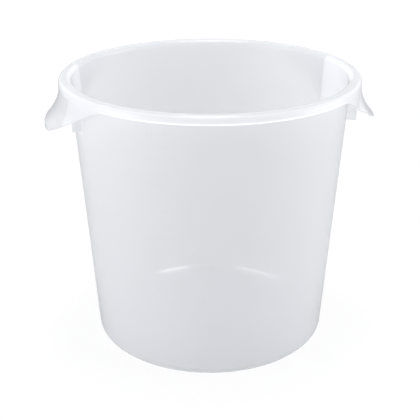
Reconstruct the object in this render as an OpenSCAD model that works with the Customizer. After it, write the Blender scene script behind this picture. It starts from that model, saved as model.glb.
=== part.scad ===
// Round dough proofing container: a tapered tub moulded in one shot from translucent polypropylene,
// with a rolled rim, two flared grips under the rim, four nesting ribs and a recessed base.
// Each moulded feature is its own solid, and neighbours meet face to face on shared planes or cylinders.

/* [Body] */
// Height from the resting plane to the crest of the rim
body_h = 307; // [270:1:350]
// Outer diameter of the wall, carried up to the crest of the rim
mouth_d = 307.8; // [300:0.2:318]
// Outer diameter of the wall, carried down to the resting plane
base_d = 264; // [240:1:286]
// Thickness of the side wall, measured level
wall_t = 2.4; // [1.8:0.1:3.2]

/* [Base] */
// Height of the moulded base, up to where the side wall starts
heel_h = 16; // [15:0.5:24]
// Outer radius of the corner between the base and the wall
corner_r = 11; // [7:0.5:14]
// Inner radius of the corner between the floor and the wall
floor_corner_r = 8; // [5:0.5:9]
// Height of the foot ring under the floor
foot_h = 2.4; // [1.2:0.1:4]
// Width of the foot ring where it rests
foot_w = 6; // [4:0.5:10]
// Thickness of the floor
floor_t = 2.8; // [2:0.1:3.6]
// Rise of the floor panel's middle over its edge
floor_crown = 0.8; // [0:0.1:1.6]
// Diameter of the gate recess under the middle of the floor
gate_d = 16; // [10:1:24]
// Depth of the gate recess
gate_depth = 0.8; // [0.4:0.1:1.2]

/* [Rim] */
// Outer diameter of the rim's skirt
rim_d = 330; // [328:0.5:340]
// Height of the rounded roll over the straight skirt
roll_h = 5.5; // [4.5:0.1:7]
// Depth of the skirt's lower edge below the crest
skirt_drop = 9.3; // [8.5:0.1:12]
// Thickness of the rolled rim and its skirt
rim_t = 2.4; // [1.8:0.1:3]

/* [Grips] */
// Half angle that a grip takes up around the rim
grip_half_angle = 44; // [38:1:50]
// Depth of a grip's lower edge below the skirt, at the middle
grip_drop = 44.2; // [34:0.1:52]
// Reach of the flared lip beyond the skirt
flare_reach = 17; // [8:0.5:22]
// Depth below the crest where the flare begins
flare_start = 10.2; // [9.4:0.1:14]
// Depth below the crest where the lip stands upright again
flare_end = 47.6; // [40:0.1:52]
// Power of the flare's curve, higher for a later turn outwards
flare_power = 1.9; // [1.5:0.1:2.6]
// Half angle over which the lip keeps its whole reach
flare_full_angle = 19.5; // [12:0.5:22]
// Half angle at which the flare has died away
flare_end_angle = 26.5; // [24:0.5:32]
// Power of the lower edge's curve, higher for a narrower tongue
edge_power = 1.65; // [1.2:0.05:2.2]
// Thickness of a grip
grip_t = 2.4; // [1.8:0.1:3]

/* [Nesting ribs] */
// Angle of each rib from the middle of its grip
rib_angle = 19.25; // [14:0.25:24]
// Depth of a rib's lower edge below the crest
rib_drop = 46; // [30:0.5:60]
// Radius of a rib's outer edge
rib_outer_r = 161.4; // [156:0.1:162.2]
// Thickness of a rib
rib_t = 2; // [1.4:0.1:3]

/* [Hidden] */

// Facets of a whole circle
round_fn = 180;
// Steps in a corner's arc and in half the rim's roll
arc_steps = 8;
// Steps across and down a grip
grip_columns = 58;
grip_rows = 12;
// Height that a grip keeps at its two ends
grip_end_h = 0.5;
// Short step, in degrees and in millimetres, over which a grip's normal is measured
normal_step = 0.05;
// Draft of the tapered wall, in radius per height
draft = (mouth_d - base_d) / 2 / body_h;
draft_angle = atan(draft);
// Level of the rim's spring line, where the roll starts on top of the wall
spring_z = body_h - roll_h;
// Level of the skirt's lower edge
skirt_z = body_h - skirt_drop;
rim_r = rim_d / 2;
floor_z = foot_h + floor_t;
// Radial set-back of a corner's centre from the drafted line that it blends
corner_setback = (1 - sin(draft_angle)) / cos(draft_angle);
corner_centre_r = base_d / 2 - corner_r * corner_setback;
floor_corner_centre_r = wall_inner_r(floor_z) - floor_corner_r * corner_setback;
foot_inner_r = corner_centre_r - foot_w;
// The floor panel ends where the foot ring's inner flank begins
panel_r = foot_inner_r - foot_h;
roll_mid_r = (wall_inner_r(spring_z) + rim_r) / 2;
roll_half_w = (rim_r - wall_inner_r(spring_z)) / 2;

plastic = [0.93, 0.94, 0.95, 0.55];

function wall_outer_r(z) = base_d / 2 + z * draft;
function wall_inner_r(z) = wall_outer_r(z) - wall_t;

// Points of an arc round a centre, angles from +X towards +Y, with its own half width and height
function arc_points(centre, half_w, half_h, from, to) =
    [for (i = [0:arc_steps]) let (a = from + (to - from) * i / arc_steps)
        [centre[0] + half_w * cos(a), centre[1] + half_h * sin(a)]];

// The panel is crowned by a large circle through its middle and its edge
crown_r = (panel_r * panel_r + floor_crown * floor_crown) / (2 * max(floor_crown, 0.001));
function crown_z(r) = floor_crown <= 0 ? 0
    : sqrt(crown_r * crown_r - r * r) - (crown_r - floor_crown);
function crown_points(level, from, to) =
    [for (i = [0:arc_steps]) let (r = from + (to - from) * i / arc_steps) [r, level + crown_z(r)]];

module floor_panel() {
    color(plastic)
        difference() {
            rotate_extrude($fn = round_fn)
                polygon(concat(crown_points(foot_h, 0, panel_r), crown_points(floor_z, panel_r, 0)));
            cylinder(h = foot_h + floor_crown + gate_depth, d = gate_d, $fn = 60);
        }
}

module base_heel() {
    color(plastic)
        rotate_extrude($fn = round_fn)
            polygon(concat(
                [[panel_r, foot_h], [foot_inner_r, 0]],
                arc_points([corner_centre_r, corner_r], corner_r, corner_r, -90, -draft_angle),
                [[wall_outer_r(heel_h), heel_h], [wall_inner_r(heel_h), heel_h]],
                arc_points([floor_corner_centre_r, floor_z + floor_corner_r],
                    floor_corner_r, floor_corner_r, -draft_angle, -90),
                [[panel_r, floor_z]]));
}

module side_wall() {
    color(plastic)
        rotate_extrude($fn = round_fn)
            polygon([
                [wall_inner_r(heel_h), heel_h], [wall_outer_r(heel_h), heel_h],
                [wall_outer_r(spring_z), spring_z], [wall_inner_r(spring_z), spring_z]]);
}

// The roll is an upturned channel: half an ellipse over the wall, then a straight skirt outside
module rolled_rim() {
    color(plastic)
        rotate_extrude($fn = round_fn)
            polygon(concat(
                arc_points([roll_mid_r, spring_z], roll_half_w, roll_h, 180, 0),
                [[rim_r, skirt_z], [rim_r - rim_t, skirt_z]],
                arc_points([roll_mid_r, spring_z], roll_half_w - rim_t, roll_h - rim_t, 0, 180)));
}

// Share of the flare at an angle from the grip's middle: whole, then a smooth fall to nothing
function flare_share(a) =
    let (u = min(1, max(0, (abs(a) - flare_full_angle) / (flare_end_angle - flare_full_angle))))
    (1 + cos(180 * u)) / 2;
// Share of the flare at a depth below the crest: upright, then swinging out, then upright again
function flare_depth_share(d) = pow(min(1, max(0, (d - flare_start) / (flare_end - flare_start))), flare_power);
function grip_r(a, d) = rim_r + flare_reach * flare_share(a) * flare_depth_share(d);
// Depth of the lower edge: a tongue that rises to the skirt at both ends
function edge_depth(a) =
    skirt_drop + grip_end_h + (grip_drop - grip_end_h) * pow(cos(90 * min(1, abs(a) / grip_half_angle)), edge_power);
function grip_point(a, d) = [grip_r(a, d) * cos(a), grip_r(a, d) * sin(a), body_h - d];
// Outward normal of the grip's face. Above the flare it is level, so the grip's upper face lies flat
// against the skirt
function grip_normal(a, d) =
    let (across = grip_point(a + normal_step, d) - grip_point(a - normal_step, d),
        down = grip_point(a, d + normal_step) - grip_point(a, d - normal_step),
        n = cross(down, across))
    n / norm(n);
// Depth of a row of points, from the skirt down to the lower edge, and angle of a column
function grip_depth(a, row) = skirt_drop + (edge_depth(a) - skirt_drop) * row / grip_rows;
function grip_angle(column) = grip_half_angle * (2 * column / grip_columns - 1);

module grip() {
    side = (grip_columns + 1) * (grip_rows + 1);
    outer = [for (c = [0:grip_columns], r = [0:grip_rows])
        grip_point(grip_angle(c), grip_depth(grip_angle(c), r))];
    inner = [for (c = [0:grip_columns], r = [0:grip_rows])
        let (a = grip_angle(c), d = grip_depth(a, r))
        grip_point(a, d) - grip_t * grip_normal(a, d)];
    function at(c, r) = c * (grip_rows + 1) + r;
    cells = [for (c = [0:grip_columns - 1], r = [0:grip_rows - 1]) [c, r]];
    outer_faces = [for (q = cells, half = [0, 1])
        half == 0 ? [at(q[0], q[1]), at(q[0] + 1, q[1]), at(q[0] + 1, q[1] + 1)]
            : [at(q[0], q[1]), at(q[0] + 1, q[1] + 1), at(q[0], q[1] + 1)]];
    inner_faces = [for (f = outer_faces) [f[0] + side, f[2] + side, f[1] + side]];
    rows_edge = [for (r = [0:grip_rows - 1], c = [0, grip_columns], half = [0, 1])
        let (p = at(c, r), q = at(c, r + 1), f = half == 0 ? [p, q, q + side] : [p, q + side, p + side])
        c == 0 ? f : [f[0], f[2], f[1]]];
    columns_edge = [for (c = [0:grip_columns - 1], r = [0, grip_rows], half = [0, 1])
        let (p = at(c, r), q = at(c + 1, r), f = half == 0 ? [p, q + side, q] : [p, p + side, q + side])
        r == 0 ? f : [f[0], f[2], f[1]]];
    color(plastic)
        polyhedron(concat(outer, inner), concat(outer_faces, inner_faces, rows_edge, columns_edge));
}

module grip_left() {
    rotate(180)
        grip();
}

module grip_right() {
    grip();
}

// A rib hangs from the rim's channel, with its inner edge on the tapered wall
module nesting_rib(angle) {
    color(plastic)
        rotate(angle)
            difference() {
                translate([wall_outer_r(body_h - rib_drop) - wall_t, -rib_t / 2, body_h - rib_drop])
                    cube([rib_outer_r - wall_outer_r(body_h - rib_drop) + wall_t, rib_t, rib_drop - skirt_drop]);
                cylinder(h = body_h, r1 = wall_outer_r(0), r2 = wall_outer_r(body_h), $fn = round_fn);
            }
}

module rib_left_front() {
    nesting_rib(180 + rib_angle);
}

module rib_left_back() {
    nesting_rib(180 - rib_angle);
}

module rib_right_front() {
    nesting_rib(-rib_angle);
}

module rib_right_back() {
    nesting_rib(rib_angle);
}

floor_panel();
base_heel();
side_wall();
rolled_rim();
grip_left();
grip_right();
rib_left_front();
rib_left_back();
rib_right_front();
rib_right_back();
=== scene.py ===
from math import sin, cos, atan, pi, radians, sqrt
import bpy
import bmesh
from mathutils import Vector, Matrix


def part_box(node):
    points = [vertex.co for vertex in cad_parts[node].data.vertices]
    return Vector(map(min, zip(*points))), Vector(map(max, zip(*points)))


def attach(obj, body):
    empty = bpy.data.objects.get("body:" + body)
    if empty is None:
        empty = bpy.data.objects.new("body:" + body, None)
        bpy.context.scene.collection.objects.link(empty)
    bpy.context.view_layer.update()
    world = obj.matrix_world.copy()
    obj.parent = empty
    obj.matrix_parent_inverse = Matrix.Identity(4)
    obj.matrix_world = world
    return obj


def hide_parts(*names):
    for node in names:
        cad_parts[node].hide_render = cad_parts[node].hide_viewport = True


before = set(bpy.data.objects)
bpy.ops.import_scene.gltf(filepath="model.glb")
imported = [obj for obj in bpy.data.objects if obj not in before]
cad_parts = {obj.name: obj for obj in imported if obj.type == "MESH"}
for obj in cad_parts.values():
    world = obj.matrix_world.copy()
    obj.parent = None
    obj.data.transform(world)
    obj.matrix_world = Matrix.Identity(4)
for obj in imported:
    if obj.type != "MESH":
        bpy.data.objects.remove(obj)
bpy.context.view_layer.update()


# Sizes that the pieces share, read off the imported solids, in metres
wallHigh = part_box("side_wall")[1]
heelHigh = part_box("base_heel")[1]
rimLow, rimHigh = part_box("rolled_rim")
panelLow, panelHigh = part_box("floor_panel")
tub = {
    "height": rimHigh[2],
    "rimRadius": rimHigh[1],
    "skirtZ": rimLow[2],
    "springZ": wallHigh[2],          # where the roll starts on top of the wall
    "heelZ": heelHigh[2],
    "heelRadius": heelHigh[1],
    "draft": (wallHigh[1] - heelHigh[1]) / (wallHigh[2] - heelHigh[2]),
    "wall": 0.0024,
    "segments": 360,
}
tiny = 1e-6                          # a length that counts as nothing


def outerRadius(z):
    return tub["heelRadius"] + (z - tub["heelZ"]) * tub["draft"]


def innerRadius(z):
    return outerRadius(z) - tub["wall"]


# Finishes

def node(tree, kind, place, **inputs):
    made = tree.nodes.new(kind)
    made.location = place
    for name, value in inputs.items():
        made.inputs[name.replace("_", " ")].default_value = value
    return made


plastic = {
    "pale": (0.918, 0.928, 0.946, 1),
    "deep": (0.888, 0.899, 0.919, 1),
    "scattered": (0.935, 0.942, 0.958, 1),   # tint of light that comes through the wall
    "scatterShare": 0.500,
    "opacityFacing": 0.580,                 # seen square on
    "opacityGrazing": 0.900,                # seen along the wall, through more plastic
    "roughLow": 0.17, "roughHigh": 0.26,
    "opacityBlend": 0.4,
    "glossFacing": 0.04, "glossGrazing": 0.85, "glossBlend": 0.5, "glossPower": 5,
    "flowScale": 11.0, "flowBump": 0.10, "flowDepth": 0.0005,
    "grainScale": 700.0, "grainBump": 0.015, "grainDepth": 0.0002,
    "noiseDetail": 2.0,
}

# Raised marks lie on the wall, so they add little of their own
markPlastic = dict(plastic, opacityFacing=0.012, opacityGrazing=0.07, glossFacing=0.012, glossGrazing=0.2)

# Painted light: emission that paints highlight lines, lighter zones and highlight arcs onto the plastic.
# First the strength of each painted glow, then where it fades in or out, in metres or in degrees
paintedLight = {
    # Painted highlights: skirtLine, shoulderLine and the gleam arcs; painted lighter zones: skirtFace,
    # betweenRibs, wing and rib
    "skirtLine": 0.60, "shoulderLine": 0.20, "skirtFace": 0.20, "betweenRibs": 0.25,
    "wing": 0.17, "rib": 0.08,
    "outside": (-0.006, -0.004),             # from the rim's radius
    "skirtEdge": (0.0018, 0.0008),           # from the skirt's lower edge
    "skirtTurn": (40, 47),
    "shoulderShare": 0.707,                  # of the roll's rise
    "shoulderBelow": (-0.0010, -0.0004), "shoulderAbove": (0.0008, 0.0002),
    "faceTop": (0.0042, 0.0025),             # from the top of the wall
    "ribAngle": 20.0, "ribFade": (0.004, -0.004),   # the fade in radians
    "zoneLow": (0.252, 0.262),
    "zoneEdge": (-0.0085, -0.0105),          # from the rim's radius
    "wingAngle": 19.8, "wingFade": (0, 0.012),      # the fade in radians
    "gleamArcs": ((33, 68, 2.8), (92, 118, 4.6)),   # start, end and strength
    "gleamTaper": 7, "gleamRadius": (0.1228, 0.1285), "gleamTop": (0.0115, 0.0095),
}


def band(tree, value, start, end):
    step = node(tree, "ShaderNodeMapRange", (-700, -1000), From_Min=start, From_Max=end)
    tree.links.new(value, step.inputs["Value"])
    return step.outputs["Result"]


def fade(tree, value, base, ends):
    return band(tree, value, base + ends[0], base + ends[1])


def combine(tree, operation, first, *others):
    total = first
    for value in others:
        step = node(tree, "ShaderNodeMath", (-500, -1000))
        step.operation = operation
        tree.links.new(total, step.inputs[0])
        if isinstance(value, float):
            step.inputs[1].default_value = value
        else:
            tree.links.new(value, step.inputs[1])
        total = step.outputs["Value"]
    return total


def placeOnTub(tree, spot):
    # Radius from the axis, angle from the line through both grips, and height
    link = tree.links.new
    parts = node(tree, "ShaderNodeSeparateXYZ", (-1400, -1000))
    link(spot.outputs["Object"], parts.inputs["Vector"])
    level = node(tree, "ShaderNodeCombineXYZ", (-1200, -900))
    link(parts.outputs["X"], level.inputs["X"])
    link(parts.outputs["Y"], level.inputs["Y"])
    reach = node(tree, "ShaderNodeVectorMath", (-1000, -900))
    reach.operation = "LENGTH"
    link(level.outputs["Vector"], reach.inputs[0])
    turn = node(tree, "ShaderNodeMath", (-1000, -1100))
    turn.operation = "ARCTAN2"
    for i, axis in enumerate("YX"):
        size = node(tree, "ShaderNodeMath", (-1200, -1100 - 200 * i))
        size.operation = "ABSOLUTE"
        link(parts.outputs[axis], size.inputs[0])
        link(size.outputs["Value"], turn.inputs[i])
    return reach.outputs["Value"], turn.outputs["Value"], parts.outputs["Z"]


def cornerGleam(tree, spot, radius, z):
    # Painted highlight: two arcs of emission in the far corner of the floor, standing in for the lamps' gleam
    parts = node(tree, "ShaderNodeSeparateXYZ", (-1400, -1500))
    tree.links.new(spot.outputs["Object"], parts.inputs["Vector"])
    turn = node(tree, "ShaderNodeMath", (-1200, -1500))
    turn.operation = "ARCTAN2"
    tree.links.new(parts.outputs["Y"], turn.inputs[0])
    tree.links.new(parts.outputs["X"], turn.inputs[1])
    arcs = []
    taper = paintedLight["gleamTaper"]
    for start, end, strength in paintedLight["gleamArcs"]:
        opening = band(tree, turn.outputs["Value"], radians(start), radians(start + taper))
        closing = band(tree, turn.outputs["Value"], radians(end), radians(end - taper))
        arcs.append(combine(tree, "MULTIPLY", opening, closing, strength))
    low, high = paintedLight["gleamRadius"]
    centre = (low + high) / 2
    return combine(tree, "MULTIPLY", combine(tree, "ADD", *arcs), band(tree, radius, low, centre),
                   band(tree, radius, high, centre), band(tree, z, *paintedLight["gleamTop"]))


def shellLight(tree, spot):
    # Painted light on the shell: highlight lines along the skirt's edge and the roll's shoulder, a lighter
    # skirt face, a lighter wall between the ribs and the corner highlight arcs
    radius, angle, z = placeOnTub(tree, spot)
    edge = tub["rimRadius"]
    shoulderZ = tub["springZ"] + (tub["height"] - tub["springZ"]) * paintedLight["shoulderShare"]
    outside = fade(tree, radius, edge, paintedLight["outside"])
    pastGrip = band(tree, angle, *[radians(a) for a in paintedLight["skirtTurn"]])
    skirtLine = combine(tree, "MULTIPLY", outside, fade(tree, z, tub["skirtZ"], paintedLight["skirtEdge"]),
                        pastGrip, paintedLight["skirtLine"])
    shoulderLine = combine(tree, "MULTIPLY", outside, fade(tree, z, shoulderZ, paintedLight["shoulderBelow"]),
                           fade(tree, z, shoulderZ, paintedLight["shoulderAbove"]), paintedLight["shoulderLine"])
    skirtFace = combine(tree, "MULTIPLY", outside, fade(tree, z, tub["springZ"], paintedLight["faceTop"]),
                        paintedLight["skirtFace"])
    betweenRibs = combine(tree, "MULTIPLY",
                          fade(tree, angle, radians(paintedLight["ribAngle"]), paintedLight["ribFade"]),
                          band(tree, z, *paintedLight["zoneLow"]),
                          fade(tree, radius, edge, paintedLight["zoneEdge"]), paintedLight["betweenRibs"])
    return combine(tree, "ADD", skirtLine, shoulderLine, skirtFace, betweenRibs,
                   cornerGleam(tree, spot, radius, z))


def gripLight(tree, spot):
    # Painted light: the wings on both sides of the lip glow lighter than the lip itself
    angle = placeOnTub(tree, spot)[1]
    wings = fade(tree, angle, radians(paintedLight["wingAngle"]), paintedLight["wingFade"])
    return combine(tree, "MULTIPLY", wings, paintedLight["wing"])


def translucentPlastic(name, finish, light=None):
    mat = bpy.data.materials.new(name)
    mat.use_nodes = True
    tree = mat.node_tree
    link = tree.links.new
    surface = tree.nodes["Principled BSDF"]
    out = tree.nodes["Material Output"]
    surface.inputs["Specular IOR Level"].default_value = 0
    spot = node(tree, "ShaderNodeTexCoord", (-1500, 0))
    flow = node(tree, "ShaderNodeTexNoise", (-1200, 200),
                Scale=finish["flowScale"], Detail=finish["noiseDetail"])
    grain = node(tree, "ShaderNodeTexNoise", (-1200, -150),
                 Scale=finish["grainScale"], Detail=finish["noiseDetail"])
    link(spot.outputs["Object"], flow.inputs["Vector"])
    link(spot.outputs["Object"], grain.inputs["Vector"])
    tone = node(tree, "ShaderNodeMix", (-700, 250))
    tone.data_type = "RGBA"
    tone.inputs[6].default_value = finish["deep"]
    tone.inputs[7].default_value = finish["pale"]
    link(flow.outputs["Fac"], tone.inputs[0])
    link(tone.outputs[2], surface.inputs["Base Color"])
    rough = node(tree, "ShaderNodeMapRange", (-700, -50),
                 To_Min=finish["roughLow"], To_Max=finish["roughHigh"])
    link(grain.outputs["Fac"], rough.inputs["Value"])
    link(rough.outputs["Result"], surface.inputs["Roughness"])
    wave = node(tree, "ShaderNodeBump", (-700, -300),
                Strength=finish["flowBump"], Distance=finish["flowDepth"])
    link(flow.outputs["Fac"], wave.inputs["Height"])
    fine = node(tree, "ShaderNodeBump", (-450, -300),
                Strength=finish["grainBump"], Distance=finish["grainDepth"])
    link(grain.outputs["Fac"], fine.inputs["Height"])
    link(wave.outputs["Normal"], fine.inputs["Normal"])
    link(fine.outputs["Normal"], surface.inputs["Normal"])
    # Painted light: the emission strength, a fixed value or a mask, makes the plastic glow
    if isinstance(light, float):
        surface.inputs["Emission Strength"].default_value = light
    elif light:
        link(light(tree, spot), surface.inputs["Emission Strength"])
    scatter = node(tree, "ShaderNodeBsdfTranslucent", (-200, -400), Color=finish["scattered"])
    body = node(tree, "ShaderNodeMixShader", (300, 0))
    body.inputs[0].default_value = finish["scatterShare"]
    link(surface.outputs["BSDF"], body.inputs[1])
    link(scatter.outputs["BSDF"], body.inputs[2])
    edge = node(tree, "ShaderNodeLayerWeight", (-200, -600), Blend=finish["opacityBlend"])
    opacity = node(tree, "ShaderNodeMapRange", (50, -600),
                   To_Min=finish["opacityFacing"], To_Max=finish["opacityGrazing"])
    link(edge.outputs["Facing"], opacity.inputs["Value"])
    clear = node(tree, "ShaderNodeBsdfTransparent", (300, -300))
    whole = node(tree, "ShaderNodeMixShader", (550, 0))
    link(opacity.outputs["Result"], whole.inputs[0])
    link(clear.outputs["BSDF"], whole.inputs[1])
    link(body.outputs["Shader"], whole.inputs[2])
    gloss = node(tree, "ShaderNodeBsdfAnisotropic", (550, -300))
    link(rough.outputs["Result"], gloss.inputs["Roughness"])
    link(fine.outputs["Normal"], gloss.inputs["Normal"])
    facing = node(tree, "ShaderNodeLayerWeight", (-200, -800), Blend=finish["glossBlend"])
    steep = node(tree, "ShaderNodeMath", (50, -800))
    steep.operation = "POWER"
    steep.inputs[1].default_value = finish["glossPower"]
    link(facing.outputs["Facing"], steep.inputs[0])
    mirror = node(tree, "ShaderNodeMapRange", (300, -800),
                  To_Min=finish["glossFacing"], To_Max=finish["glossGrazing"])
    link(steep.outputs["Value"], mirror.inputs["Value"])
    coated = node(tree, "ShaderNodeMixShader", (800, 0))
    link(mirror.outputs["Result"], coated.inputs[0])
    link(whole.outputs["Shader"], coated.inputs[1])
    link(gloss.outputs["BSDF"], coated.inputs[2])
    link(coated.outputs["Shader"], out.inputs["Surface"])
    return mat


def clearJoint():
    # Faces inside the one moulding, where two pieces meet: nothing shows there
    mat = bpy.data.materials.new("clearJoint")
    mat.use_nodes = True
    tree = mat.node_tree
    tree.nodes.clear()
    through = node(tree, "ShaderNodeBsdfTransparent", (0, 0))
    out = node(tree, "ShaderNodeOutputMaterial", (200, 0))
    tree.links.new(through.outputs["BSDF"], out.inputs["Surface"])
    return mat


# Painted light: the shell, grips and ribs glow through their emission, from the masks above and a fixed
# strength on the ribs
shellPlasticWithPaintedLight = translucentPlastic("shellPlasticPaintedLight", plastic, shellLight)
gripPlasticWithPaintedLight = translucentPlastic("gripPlasticPaintedLight", plastic, gripLight)
ribPlasticWithPaintedLight = translucentPlastic("ribPlasticPaintedLight", plastic, paintedLight["rib"])
markFinish = translucentPlastic("markPlastic", markPlastic)
jointFinish = clearJoint()
print("finishes made")


# Shared mesh work

def finishPiece(name, bm, coat, replaced=(), sharpAngle=32):
    bmesh.ops.recalc_face_normals(bm, faces=bm.faces)
    for face in bm.faces:
        face.smooth = True
    for line in bm.edges:
        line.smooth = len(line.link_faces) == 2 and line.calc_face_angle(0) < radians(sharpAngle)
    mesh = bpy.data.meshes.new(name)
    bm.to_mesh(mesh)
    bm.free()
    mesh.materials.append(coat)
    mesh.materials.append(jointFinish)
    piece = bpy.data.objects.new(name, mesh)
    bpy.context.scene.collection.objects.link(piece)
    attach(piece, "root")
    if replaced:
        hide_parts(*replaced)
    print("piece", name, len(mesh.polygons), "faces")
    return piece


def revolve(profile, hidden):
    # A profile of (radius, height) from axis to axis, turned round Z; hidden marks the faces of a joint
    bm = bmesh.new()
    count = tub["segments"]
    rings = []
    for radius, z in profile:
        if radius < tiny:
            rings.append([bm.verts.new((0, 0, z))])
            continue
        rings.append([bm.verts.new((radius * cos(2 * pi * k / count), radius * sin(2 * pi * k / count), z))
                      for k in range(count)])
    for i in range(len(profile) - 1):
        here, there = rings[i], rings[i + 1]
        for k in range(count):
            m = (k + 1) % count
            corners = [here[k % len(here)], there[k % len(there)], there[m % len(there)], here[m % len(here)]]
            face = bm.faces.new(list(dict.fromkeys(corners)))
            if hidden(i, (k + 0.5) * 360 / count):
                face.material_index = 1
    return bm


def arc(centre, halfWidth, halfHeight, start, end, steps):
    turn = [start + (end - start) * i / steps for i in range(steps + 1)]
    return [(centre[0] + halfWidth * cos(radians(a)), centre[1] + halfHeight * sin(radians(a))) for a in turn]


def spread(start, end, steps):
    return [start + (end - start) * i / steps for i in range(steps + 1)]


# Floor: a crowned panel with the gate's recess under its middle

floor = {
    "radius": panelHigh[1], "lowZ": panelLow[2], "thick": 0.0028, "crown": 0.0008,
    "gateRadius": 0.008, "gateDepth": 0.0008, "gateEdge": 0.0004, "steps": 24,
}
floor["highZ"] = floor["lowZ"] + floor["thick"]


def crownRise(r):
    big = (floor["radius"] ** 2 + floor["crown"] ** 2) / (2 * floor["crown"])
    return sqrt(big ** 2 - r ** 2) - (big - floor["crown"])


def floorUnderside():
    gateZ = floor["lowZ"] + floor["crown"] + floor["gateDepth"]
    gate = [(0, gateZ), (floor["gateRadius"] - floor["gateEdge"], gateZ)]
    outward = spread(floor["gateRadius"], floor["radius"], floor["steps"])
    return gate + [(r, floor["lowZ"] + crownRise(r)) for r in outward]


def floorTop():
    return [(r, floor["highZ"] + crownRise(r)) for r in spread(floor["radius"], 0, floor["steps"])]


# Heel: the foot ring and the rounded corner up to the wall

heel = {
    "cornerRadius": 0.011, "floorCornerRadius": 0.008,
    "footWidth": 0.006, "footRound": 0.0004, "steps": 18,
}
lean = atan(tub["draft"])
setBack = (1 - sin(lean)) / cos(lean)


def heelOutside():
    cornerX = outerRadius(0) - heel["cornerRadius"] * setBack
    footInner = cornerX - heel["footWidth"]
    ring = [(footInner - heel["footRound"], heel["footRound"]), (footInner + heel["footRound"], 0)]
    return ring + arc((cornerX, heel["cornerRadius"]), heel["cornerRadius"], heel["cornerRadius"],
                      -90, -lean * 180 / pi, heel["steps"])


def heelInside():
    r = heel["floorCornerRadius"]
    centre = (innerRadius(floor["highZ"]) - r * setBack, floor["highZ"] + r)
    return arc(centre, r, r, -lean * 180 / pi, -90, heel["steps"])


# Wall: straight and drafted, with rows for an even mesh

wall = {"rows": 12}


def wallLevels():
    return spread(tub["heelZ"], tub["springZ"], wall["rows"])


# Rim: an upturned channel with a straight skirt

rim = {"thick": 0.0024, "steps": 28}
rimMiddle = ((innerRadius(tub["springZ"]) + tub["rimRadius"]) / 2, tub["springZ"])
rimHalfWidth = (tub["rimRadius"] - innerRadius(tub["springZ"])) / 2
rimRise = tub["height"] - tub["springZ"]


def rimChannel():
    inside = arc(rimMiddle, rimHalfWidth - rim["thick"], rimRise - rim["thick"], 180, 0, rim["steps"])
    return inside[1:] + [(tub["rimRadius"] - rim["thick"], tub["skirtZ"])]


def rimOutside():
    roll = arc(rimMiddle, rimHalfWidth, rimRise, 0, 180, rim["steps"])
    return [(tub["rimRadius"], tub["skirtZ"])] + roll[:-1]


def buildShell():
    outside = floorUnderside() + heelOutside() + [(outerRadius(z), z) for z in wallLevels()] + rimChannel()
    skirt = len(outside) - 1
    inside = rimOutside() + [(innerRadius(z), z) for z in reversed(wallLevels())] + heelInside() + floorTop()

    def underGrip(i, a):
        return i == skirt and abs((a + 90) % 180 - 90) < grip["halfAngle"]

    finishPiece("moulded_shell", revolve(outside + inside, underGrip), shellPlasticWithPaintedLight,
                ["floor_panel", "base_heel", "side_wall", "rolled_rim"])


# Grips: flared tongues that hang from the skirt

grip = {
    "halfAngle": 44, "drop": 0.0442, "endHeight": 0.0005,
    "reach": 0.017, "flareStart": 0.0102, "flareEnd": 0.0476, "power": 1.9,
    "fullAngle": 19.5, "fadeAngle": 26.5, "edgePower": 1.65,
    "thick": 0.0024, "columns": 132, "rows": 30, "roundSteps": 6,
    "turnStep": 0.05, "step": 0.00005,       # degrees and metres over which a normal is taken
}


def gripPoint(a, d):
    fade = min(1, max(0, (abs(a) - grip["fullAngle"]) / (grip["fadeAngle"] - grip["fullAngle"])))
    along = (1 + cos(pi * fade)) / 2
    down = min(1, max(0, (d - grip["flareStart"]) / (grip["flareEnd"] - grip["flareStart"]))) ** grip["power"]
    r = tub["rimRadius"] + grip["reach"] * along * down
    return Vector((r * cos(radians(a)), r * sin(radians(a)), tub["height"] - d))


def gripNormal(a, d):
    across = gripPoint(a + grip["turnStep"], d) - gripPoint(a - grip["turnStep"], d)
    down = gripPoint(a, d + grip["step"]) - gripPoint(a, d - grip["step"])
    return down.cross(across).normalized()


def gripSection(a):
    # One upright cut through the tongue, with a half round along its lower edge
    skirtDrop = tub["height"] - tub["skirtZ"]
    half = grip["thick"] / 2
    tongue = max(0, cos(pi / 2 * min(1, abs(a) / grip["halfAngle"]))) ** grip["edgePower"]
    edge = skirtDrop + grip["endHeight"] + (grip["drop"] - grip["endHeight"]) * tongue
    lipRound = min(half, (edge - skirtDrop) * 0.5)
    low = edge - lipRound
    depths = spread(skirtDrop, low, grip["rows"])
    outer = [gripPoint(a, d) for d in depths]
    inner = [gripPoint(a, d) - grip["thick"] * gripNormal(a, d) for d in depths]
    n = gripNormal(a, low)
    onward = (gripPoint(a, low) - gripPoint(a, low - grip["step"])).normalized()
    middle = outer[-1] - half * n
    turn = [pi * s / grip["roundSteps"] for s in range(1, grip["roundSteps"])]
    lip = [middle + n * half * cos(t) + onward * lipRound * sin(t) for t in turn]
    return outer + lip + inner[::-1]


def buildGrip(name, turn, cadNode):
    bm = bmesh.new()
    loops = [[bm.verts.new(p) for p in gripSection(a)]
             for a in spread(-grip["halfAngle"], grip["halfAngle"], grip["columns"])]
    size = len(loops[0])
    for here, there in zip(loops, loops[1:]):
        for r in range(size):
            s = (r + 1) % size
            face = bm.faces.new((here[r], here[s], there[s], there[r]))
            if r == size - 1:
                face.material_index = 1
    bm.faces.new(loops[0])
    bm.faces.new(loops[-1][::-1])
    bmesh.ops.rotate(bm, verts=bm.verts, cent=(0, 0, 0), matrix=Matrix.Rotation(radians(turn), 3, "Z"))
    finishPiece(name, bm, gripPlasticWithPaintedLight, [cadNode])


# Nesting ribs: flat blades from the rim's channel down the wall

rib = {
    "angle": 19.25, "drop": 0.046, "outer": 0.1614, "thick": 0.002,
    "round": 0.0006, "roundSteps": 3, "sunk": 0.0002,
}


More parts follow.
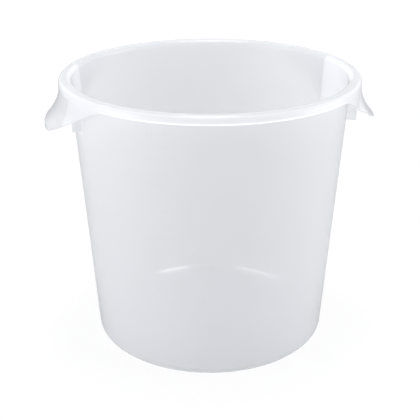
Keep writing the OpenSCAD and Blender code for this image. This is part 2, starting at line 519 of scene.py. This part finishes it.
def buildRib(name, turn, cadNode):
    bm = bmesh.new()
    low = tub["height"] - rib["drop"]
    high = tub["skirtZ"]
    corners = ((outerRadius(low) - rib["sunk"], low), (rib["outer"], low),
               (rib["outer"], high), (outerRadius(high) - rib["sunk"], high))
    sides = [[bm.verts.new((x, y, z)) for x, z in corners] for y in (-rib["thick"] / 2, rib["thick"] / 2)]
    bm.faces.new(sides[0])
    bm.faces.new(sides[1][::-1])
    for i in range(4):
        k = (i + 1) % 4
        face = bm.faces.new((sides[0][i], sides[1][i], sides[1][k], sides[0][k]))
        if i == 3:
            face.material_index = 1
    rounded = [e for e in bm.edges
               if all(v.co.x > rib["outer"] - tiny or v.co.z < low + tiny for v in e.verts)]
    bmesh.ops.bevel(bm, geom=rounded, offset=rib["round"], segments=rib["roundSteps"],
                    profile=0.5, affect="EDGES")
    bmesh.ops.rotate(bm, verts=bm.verts, cent=(0, 0, 0), matrix=Matrix.Rotation(radians(turn), 3, "Z"))
    finishPiece(name, bm, ribPlasticWithPaintedLight, [cadNode])


# Graduation marks: a bar a quart, and a longer one with its number every second quart

marks = {
    "angle": -115.5,            # round the tub, on the camera's left
    "quart": 0.000946353,       # cubic metres
    "most": 18, "numbered": 2,
    "barLong": 0.013, "barShort": 0.008, "barTall": 0.0009, "relief": 0.0008,
    "figure": 0.0085, "figureRelief": 0.0003, "figureGap": 0.010,
    "curveSteps": 3, "merge": 0.00001, "levelStep": 0.0001,
}


def levelOf(quarts):
    low = innerRadius(floor["highZ"])
    held, z, step = 0.0, floor["highZ"], marks["levelStep"]
    while held < quarts * marks["quart"]:
        held += pi * (low + (z - floor["highZ"]) * tub["draft"]) ** 2 * step
        z += step
    return z


def barTree():
    tree = bpy.data.node_groups.new("graduationBars", "GeometryNodeTree")
    for label, kind in (("Geometry", "NodeSocketGeometry"), ("Bar tall", "NodeSocketFloat"),
                        ("Relief", "NodeSocketFloat"), ("Lean", "NodeSocketVector"),
                        ("Finish", "NodeSocketMaterial")):
        tree.interface.new_socket(name=label, in_out="INPUT", socket_type=kind)
    tree.interface.new_socket(name="Geometry", in_out="OUTPUT", socket_type="NodeSocketGeometry")
    link = tree.links.new
    given = node(tree, "NodeGroupInput", (-800, 0))
    barLength = node(tree, "GeometryNodeInputNamedAttribute", (-800, -300), Name="barLength")
    barLength.data_type = "FLOAT"
    size = node(tree, "ShaderNodeCombineXYZ", (-500, -300))
    link(next(s for s in barLength.outputs if s.enabled and s.name == "Attribute"), size.inputs["X"])
    link(given.outputs["Relief"], size.inputs["Y"])
    link(given.outputs["Bar tall"], size.inputs["Z"])
    bar = node(tree, "GeometryNodeMeshCube", (-500, 200), Size=(1, 1, 1))
    placed = node(tree, "GeometryNodeInstanceOnPoints", (-250, 0))
    real = node(tree, "GeometryNodeRealizeInstances", (0, 0))
    coat = node(tree, "GeometryNodeSetMaterial", (200, 0))
    out = node(tree, "NodeGroupOutput", (400, 0))
    link(given.outputs["Geometry"], placed.inputs["Points"])
    link(bar.outputs["Mesh"], placed.inputs["Instance"])
    link(given.outputs["Lean"], placed.inputs["Rotation"])
    link(size.outputs["Vector"], placed.inputs["Scale"])
    link(placed.outputs["Instances"], real.inputs["Geometry"])
    link(real.outputs["Geometry"], coat.inputs["Geometry"])
    link(given.outputs["Finish"], coat.inputs["Material"])
    link(coat.outputs["Geometry"], out.inputs["Geometry"])
    return tree


def meshOf(holder):
    bpy.context.view_layer.update()
    return bpy.data.meshes.new_from_object(holder.evaluated_get(bpy.context.evaluated_depsgraph_get()))


def buildBars():
    turn = radians(marks["angle"])
    quarts = range(1, marks["most"] + 1)
    levels = [levelOf(q) for q in quarts]
    mesh = bpy.data.meshes.new("barPoints")
    mesh.from_pydata([(outerRadius(z) * cos(turn), outerRadius(z) * sin(turn), z) for z in levels], [], [])
    lengths = mesh.attributes.new("barLength", "FLOAT", "POINT")
    for i, q in enumerate(quarts):
        lengths.data[i].value = marks["barShort"] if q % marks["numbered"] else marks["barLong"]
    carrier = bpy.data.objects.new("barPoints", mesh)
    bpy.context.scene.collection.objects.link(carrier)
    tree = barTree()
    tool = carrier.modifiers.new("bars", "NODES")
    tool.node_group = tree
    values = {"Bar tall": marks["barTall"], "Relief": marks["relief"],
              "Lean": (-lean, 0, turn + pi / 2), "Finish": markFinish}
    for socket in tree.interface.items_tree:
        if socket.in_out == "INPUT" and socket.name in values:
            tool[socket.identifier] = values[socket.name]
    solid = meshOf(carrier)
    carrier.modifiers.remove(tool)
    bpy.data.objects.remove(carrier)
    piece = bpy.data.objects.new("graduation_bars", solid)
    bpy.context.scene.collection.objects.link(piece)
    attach(piece, "root")
    print("piece graduation_bars", len(solid.polygons), "faces")


def buildFigures():
    bm = bmesh.new()
    for q in range(marks["numbered"], marks["most"] + 1, marks["numbered"]):
        letter = bpy.data.curves.new("figure", "FONT")
        letter.body = str(q)
        letter.size = marks["figure"]
        letter.extrude = marks["figureRelief"]
        letter.align_x = "RIGHT"
        letter.align_y = "CENTER"
        letter.resolution_u = marks["curveSteps"]
        holder = bpy.data.objects.new("figure", letter)
        bpy.context.scene.collection.objects.link(holder)
        flat = meshOf(holder)
        level = levelOf(q)
        for v in flat.vertices:
            r = outerRadius(level + v.co.y) + v.co.z
            a = radians(marks["angle"]) + (v.co.x - marks["figureGap"]) / outerRadius(level)
            v.co = (r * cos(a), r * sin(a), level + v.co.y)
        bm.from_mesh(flat)
        bpy.data.objects.remove(holder)
    bmesh.ops.remove_doubles(bm, verts=bm.verts, dist=marks["merge"])
    finishPiece("graduation_figures", bm, markFinish)


buildShell()
buildGrip("moulded_grip_right", 0, "grip_right")
buildGrip("moulded_grip_left", 180, "grip_left")
for place, turn in (("right_front", -rib["angle"]), ("right_back", rib["angle"]),
                    ("left_front", 180 + rib["angle"]), ("left_back", 180 - rib["angle"])):
    buildRib("nesting_" + place, turn, "rib_" + place)
buildBars()
buildFigures()


# Floor of the studio, light and camera

studio = {
    "floorSize": 12.0, "floorTint": (0.9, 0.9, 0.9, 1),
    "floorWhite": 1.1, "floorGlow": 0.75,    # white as the camera sees it, and its share near the tub
    "near": 0.5, "far": 1.6,                 # the share rises to all of it between these
    "world": 0.466, "worldTint": (0.97, 0.98, 1, 1),
}


def buildGround():
    bpy.ops.mesh.primitive_plane_add(size=studio["floorSize"])
    ground = bpy.context.object
    ground.name = "studioFloor"
    mat = bpy.data.materials.new("studioWhite")
    mat.use_nodes = True
    tree = mat.node_tree
    tree.nodes.clear()
    matte = node(tree, "ShaderNodeBsdfDiffuse", (-200, 100), Color=studio["floorTint"])
    glow = node(tree, "ShaderNodeEmission", (-200, -100), Strength=studio["floorWhite"])
    path = node(tree, "ShaderNodeLightPath", (-600, 300))
    spot = node(tree, "ShaderNodeTexCoord", (-1000, 0))
    away = node(tree, "ShaderNodeVectorMath", (-800, 0))
    away.operation = "LENGTH"
    share = node(tree, "ShaderNodeMapRange", (-600, 0), From_Min=studio["near"], From_Max=studio["far"],
                 To_Min=studio["floorGlow"], To_Max=1.0)
    seen = node(tree, "ShaderNodeMath", (-400, 300))
    seen.operation = "MULTIPLY"
    mix = node(tree, "ShaderNodeMixShader", (0, 0))
    out = node(tree, "ShaderNodeOutputMaterial", (200, 0))
    link = tree.links.new
    link(spot.outputs["Object"], away.inputs[0])
    link(away.outputs["Value"], share.inputs["Value"])
    link(path.outputs["Is Camera Ray"], seen.inputs[0])
    link(share.outputs["Result"], seen.inputs[1])
    link(seen.outputs["Value"], mix.inputs[0])
    link(matte.outputs["BSDF"], mix.inputs[1])
    link(glow.outputs["Emission"], mix.inputs[2])
    link(mix.outputs["Shader"], out.inputs["Surface"])
    ground.data.materials.append(mat)


def buildWorld():
    world = bpy.data.worlds.new("studioWorld")
    bpy.context.scene.world = world
    world.use_nodes = True
    tree = world.node_tree
    tree.nodes.clear()
    link = tree.links.new
    path = node(tree, "ShaderNodeLightPath", (-800, 300))
    seen = path.outputs["Is Camera Ray"]
    for ray in ("Is Glossy Ray", "Is Transmission Ray"):
        either = node(tree, "ShaderNodeMath", (-500, 300))
        either.operation = "MAXIMUM"
        link(seen, either.inputs[0])
        link(path.outputs[ray], either.inputs[1])
        seen = either.outputs["Value"]
    light = node(tree, "ShaderNodeBackground", (-200, 100),
                 Color=studio["worldTint"], Strength=studio["world"])
    white = node(tree, "ShaderNodeBackground", (-200, -100), Color=(1, 1, 1, 1), Strength=1.0)
    mix = node(tree, "ShaderNodeMixShader", (0, 0))
    out = node(tree, "ShaderNodeOutputWorld", (200, 0))
    link(seen, mix.inputs[0])
    link(light.outputs["Background"], mix.inputs[1])
    link(white.outputs["Background"], mix.inputs[2])
    link(mix.outputs["Shader"], out.inputs["Surface"])


lamps = {
    "top": {"place": (0.0, 0.1, 1.7), "size": 0.5, "power": 8.70},
    "left": {"place": (-1.4, -0.4, 0.42), "size": 1.0, "power": 7.56},
    "right": {"place": (1.4, -0.3, 0.42), "size": 1.0, "power": 7.93},
    "back": {"place": (0.0, 1.5, 0.9), "size": 1.2, "power": 0.19},
}


def buildLamps():
    for name, lamp in lamps.items():
        data = bpy.data.lights.new(name + "Lamp", "AREA")
        data.shape = "SQUARE"
        data.size = lamp["size"]
        data.energy = lamp["power"]
        holder = bpy.data.objects.new(name + "Lamp", data)
        bpy.context.scene.collection.objects.link(holder)
        holder.location = lamp["place"]
        aim = Vector((0, 0, tub["height"] / 2)) - holder.location
        holder.rotation_euler = aim.to_track_quat("-Z", "Y").to_euler()


view = {
    "distance": 1.001,          # level distance from the tub's axis
    "aboveRim": 0.2633,
    "pitch": 23.19,
    "turn": 8.0,                # towards the left grip
    "focalPixels": 935, "imagePixels": 420, "sensor": 36.0,
}


def buildCamera():
    data = bpy.data.cameras.new("photoCamera")
    data.sensor_width = view["sensor"]
    data.lens = view["focalPixels"] / view["imagePixels"] * view["sensor"]
    camera = bpy.data.objects.new("photoCamera", data)
    bpy.context.scene.collection.objects.link(camera)
    turn = radians(view["turn"])
    camera.location = (-view["distance"] * sin(turn), -view["distance"] * cos(turn),
                       tub["height"] + view["aboveRim"])
    camera.rotation_euler = (radians(90 - view["pitch"]), 0, -turn)
    bpy.context.scene.camera = camera


buildGround()
buildWorld()
buildLamps()
buildCamera()
bpy.context.scene.view_settings.view_transform = "Standard"
print("studio, lamps and camera made")
